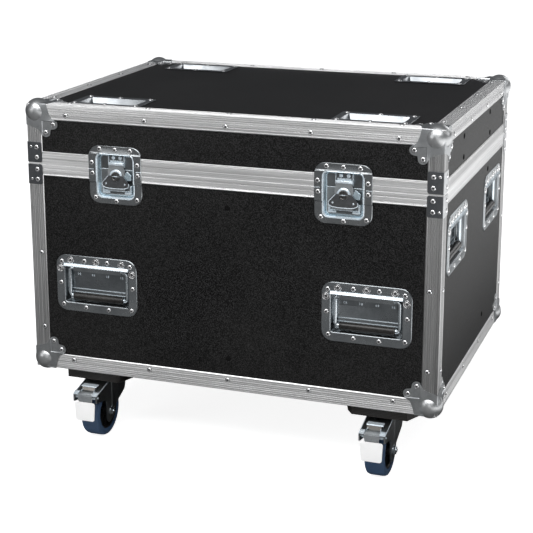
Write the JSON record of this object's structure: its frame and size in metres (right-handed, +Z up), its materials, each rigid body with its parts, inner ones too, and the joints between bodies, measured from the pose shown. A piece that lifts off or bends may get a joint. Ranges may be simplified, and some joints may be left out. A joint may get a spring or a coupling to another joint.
{
  "type": "flight case",
  "caption": "Wheeled flight case: black laminated panels in aluminium edges, hinged lid with twist latches, recessed spring handles, stacking dishes and swivel castors.",
  "frame": {"origin": "centre of the bounding box's footprint, on the floor under the castors", "axes": "+X to the right along the long side, +Y to the back, where the hinges are, +Z up; the latches face -Y"},
  "size_m": [0.816, 0.635, 0.673],
  "materials": {
    "black_laminate": "black laminated plywood, fine speckle",
    "satin_aluminium": "satin extruded, finely grooved",
    "corner_steel": "satin zinc-plated pressing",
    "zinc_steel": "zinc-plated, bluish",
    "latch_steel": "dark zinc-plated",
    "castor_pad": "black painted plywood",
    "fork_steel": "dark grey satin",
    "blue_tyre": "blue rubber, matt",
    "white_plastic": "satin moulded"
  },
  "bodies": {
    "base": {"base_frame": "satin_aluminium", "floor_panel": "black_laminate", "base_front_panel": "black_laminate", "base_back_panel": "black_laminate", "base_left_panel": "black_laminate", "base_right_panel": "black_laminate", "base_ball_corner_front_left": "corner_steel", "base_ball_corner_front_right": "corner_steel", "base_ball_corner_rear_left": "corner_steel", "base_ball_corner_rear_right": "corner_steel", "front_left_handle_dish": "zinc_steel", "front_right_handle_dish": "zinc_steel", "right_front_handle_dish": "zinc_steel", "right_rear_handle_dish": "zinc_steel", "left_rear_handle_dish": "zinc_steel", "left_front_handle_dish": "zinc_steel", "left_latch_lower_dish": "zinc_steel", "right_latch_lower_dish": "zinc_steel", "front_left_castor_mount": "castor_pad", "front_right_castor_mount": "castor_pad", "rear_left_castor_mount": "castor_pad", "rear_right_castor_mount": "castor_pad"},
    "lid": {"lid_frame": "satin_aluminium", "lid_top_panel": "black_laminate", "lid_front_panel": "black_laminate", "lid_back_panel": "black_laminate", "lid_left_panel": "black_laminate", "lid_right_panel": "black_laminate", "lid_ball_corner_front_left": "corner_steel", "lid_ball_corner_front_right": "corner_steel", "lid_ball_corner_rear_left": "corner_steel", "lid_ball_corner_rear_right": "corner_steel", "left_latch_upper_dish": "zinc_steel", "right_latch_upper_dish": "zinc_steel", "front_left_stacking_dish": "zinc_steel", "front_right_stacking_dish": "zinc_steel", "rear_left_stacking_dish": "zinc_steel", "rear_right_stacking_dish": "zinc_steel"},
    "left_latch_cam": {"left_latch_cam": "zinc_steel"},
    "left_latch_wing": {"left_latch_wing": "latch_steel"},
    "left_latch_hook": {"left_latch_hook": "zinc_steel"},
    "right_latch_cam": {"right_latch_cam": "zinc_steel"},
    "right_latch_wing": {"right_latch_wing": "latch_steel"},
    "right_latch_hook": {"right_latch_hook": "zinc_steel"},
    "front_left_handle_bail": {"front_left_handle_bail": "zinc_steel"},
    "front_right_handle_bail": {"front_right_handle_bail": "zinc_steel"},
    "right_front_handle_bail": {"right_front_handle_bail": "zinc_steel"},
    "right_rear_handle_bail": {"right_rear_handle_bail": "zinc_steel"},
    "left_rear_handle_bail": {"left_rear_handle_bail": "zinc_steel"},
    "left_front_handle_bail": {"left_front_handle_bail": "zinc_steel"},
    "front_left_castor_fork": {"front_left_castor_fork": "fork_steel"},
    "front_left_castor_wheel": {"front_left_castor_wheel": "blue_tyre"},
    "front_left_brake_pedal": {"front_left_brake_pedal": "white_plastic"},
    "front_right_castor_fork": {"front_right_castor_fork": "fork_steel"},
    "front_right_castor_wheel": {"front_right_castor_wheel": "blue_tyre"},
    "front_right_brake_pedal": {"front_right_brake_pedal": "white_plastic"},
    "rear_left_castor_fork": {"rear_left_castor_fork": "fork_steel"},
    "rear_left_castor_wheel": {"rear_left_castor_wheel": "blue_tyre"},
    "rear_right_castor_fork": {"rear_right_castor_fork": "fork_steel"},
    "rear_right_castor_wheel": {"rear_right_castor_wheel": "blue_tyre"}
  },
  "joints": [
    {"name": "lid_hinge", "type": "hinge", "parent": "base", "child": "lid", "pos_m": [0, 0.3131, 0.5493], "axis": [-1, 0, 0], "range_deg": [0, 100]},
    {"name": "left_latch_turn", "type": "hinge", "parent": "base", "child": "left_latch_cam", "pos_m": [-0.2203, -0.29035, 0.5363], "axis": [0, -1, 0], "range_deg": [0, 180]},
    {"name": "left_latch_wing_fold", "type": "hinge", "parent": "left_latch_cam", "child": "left_latch_wing", "pos_m": [-0.2203, -0.29035, 0.5363], "axis": [-1, 0, 0], "range_deg": [0, 90]},
    {"name": "left_latch_hook_slide", "type": "slide", "parent": "base", "child": "left_latch_hook", "axis": [0, 0, 1], "range_m": [0, 0.01]},
    {"name": "right_latch_turn", "type": "hinge", "parent": "base", "child": "right_latch_cam", "pos_m": [0.2203, -0.29035, 0.5363], "axis": [0, -1, 0], "range_deg": [0, 180]},
    {"name": "right_latch_wing_fold", "type": "hinge", "parent": "right_latch_cam", "child": "right_latch_wing", "pos_m": [0.2203, -0.29035, 0.5363], "axis": [-1, 0, 0], "range_deg": [0, 90]},
    {"name": "right_latch_hook_slide", "type": "slide", "parent": "base", "child": "right_latch_hook", "axis": [0, 0, 1], "range_m": [0, 0.01]},
    {"name": "front_left_handle_swing", "type": "hinge", "parent": "base", "child": "front_left_handle_bail", "pos_m": [-0.266, -0.282, 0.348], "axis": [-1, 0, 0], "range_deg": [0, 90], "stiffness_Nm_per_rad": 0.4},
    {"name": "front_right_handle_swing", "type": "hinge", "parent": "base", "child": "front_right_handle_bail", "pos_m": [0.266, -0.282, 0.348], "axis": [-1, 0, 0], "range_deg": [0, 90], "stiffness_Nm_per_rad": 0.4},
    {"name": "right_front_handle_swing", "type": "hinge", "parent": "base", "child": "right_front_handle_bail", "pos_m": [0.3896, -0.1584, 0.47], "axis": [0, -1, 0], "range_deg": [0, 90], "stiffness_Nm_per_rad": 0.4},
    {"name": "right_rear_handle_swing", "type": "hinge", "parent": "base", "child": "right_rear_handle_bail", "pos_m": [0.3896, 0.1736, 0.47], "axis": [0, -1, 0], "range_deg": [0, 90], "stiffness_Nm_per_rad": 0.4},
    {"name": "left_rear_handle_swing", "type": "hinge", "parent": "base", "child": "left_rear_handle_bail", "pos_m": [-0.3896, 0.1736, 0.47], "axis": [0, 1, 0], "range_deg": [0, 90], "stiffness_Nm_per_rad": 0.4},
    {"name": "left_front_handle_swing", "type": "hinge", "parent": "base", "child": "left_front_handle_bail", "pos_m": [-0.3896, -0.1584, 0.47], "axis": [0, 1, 0], "range_deg": [0, 90], "stiffness_Nm_per_rad": 0.4},
    {"name": "front_left_castor_swivel", "type": "hinge", "parent": "base", "child": "front_left_castor_fork", "pos_m": [-0.287, -0.2114, 0], "axis": [0, 0, 1], "continuous": true},
    {"name": "front_left_castor_roll", "type": "hinge", "parent": "front_left_castor_fork", "child": "front_left_castor_wheel", "pos_m": [-0.287, -0.2494, 0.05], "axis": [1, 0, 0], "continuous": true},
    {"name": "front_left_brake_press", "type": "hinge", "parent": "front_left_castor_fork", "child": "front_left_brake_pedal", "pos_m": [-0.287, -0.3094, 0.0975], "axis": [1, 0, 0], "range_deg": [0, 12]},
    {"name": "front_right_castor_swivel", "type": "hinge", "parent": "base", "child": "front_right_castor_fork", "pos_m": [0.287, -0.2114, 0], "axis": [0, 0, 1], "continuous": true},
    {"name": "front_right_castor_roll", "type": "hinge", "parent": "front_right_castor_fork", "child": "front_right_castor_wheel", "pos_m": [0.287, -0.2494, 0.05], "axis": [1, 0, 0], "continuous": true},
    {"name": "front_right_brake_press", "type": "hinge", "parent": "front_right_castor_fork", "child": "front_right_brake_pedal", "pos_m": [0.287, -0.3094, 0.0975], "axis": [1, 0, 0], "range_deg": [0, 12]},
    {"name": "rear_left_castor_swivel", "type": "hinge", "parent": "base", "child": "rear_left_castor_fork", "pos_m": [-0.287, 0.2266, 0], "axis": [0, 0, 1], "continuous": true},
    {"name": "rear_left_castor_roll", "type": "hinge", "parent": "rear_left_castor_fork", "child": "rear_left_castor_wheel", "pos_m": [-0.287, 0.1886, 0.05], "axis": [1, 0, 0], "continuous": true},
    {"name": "rear_right_castor_swivel", "type": "hinge", "parent": "base", "child": "rear_right_castor_fork", "pos_m": [0.287, 0.2266, 0], "axis": [0, 0, 1], "continuous": true},
    {"name": "rear_right_castor_roll", "type": "hinge", "parent": "rear_right_castor_fork", "child": "rear_right_castor_wheel", "pos_m": [0.287, 0.1886, 0.05], "axis": [1, 0, 0], "continuous": true}
  ],
  "couplings": [
    {"joint": "left_latch_turn", "follows": "left_latch_hook_slide", "rad_per_m": 314},
    {"joint": "right_latch_turn", "follows": "right_latch_hook_slide", "rad_per_m": 314}
  ]
}
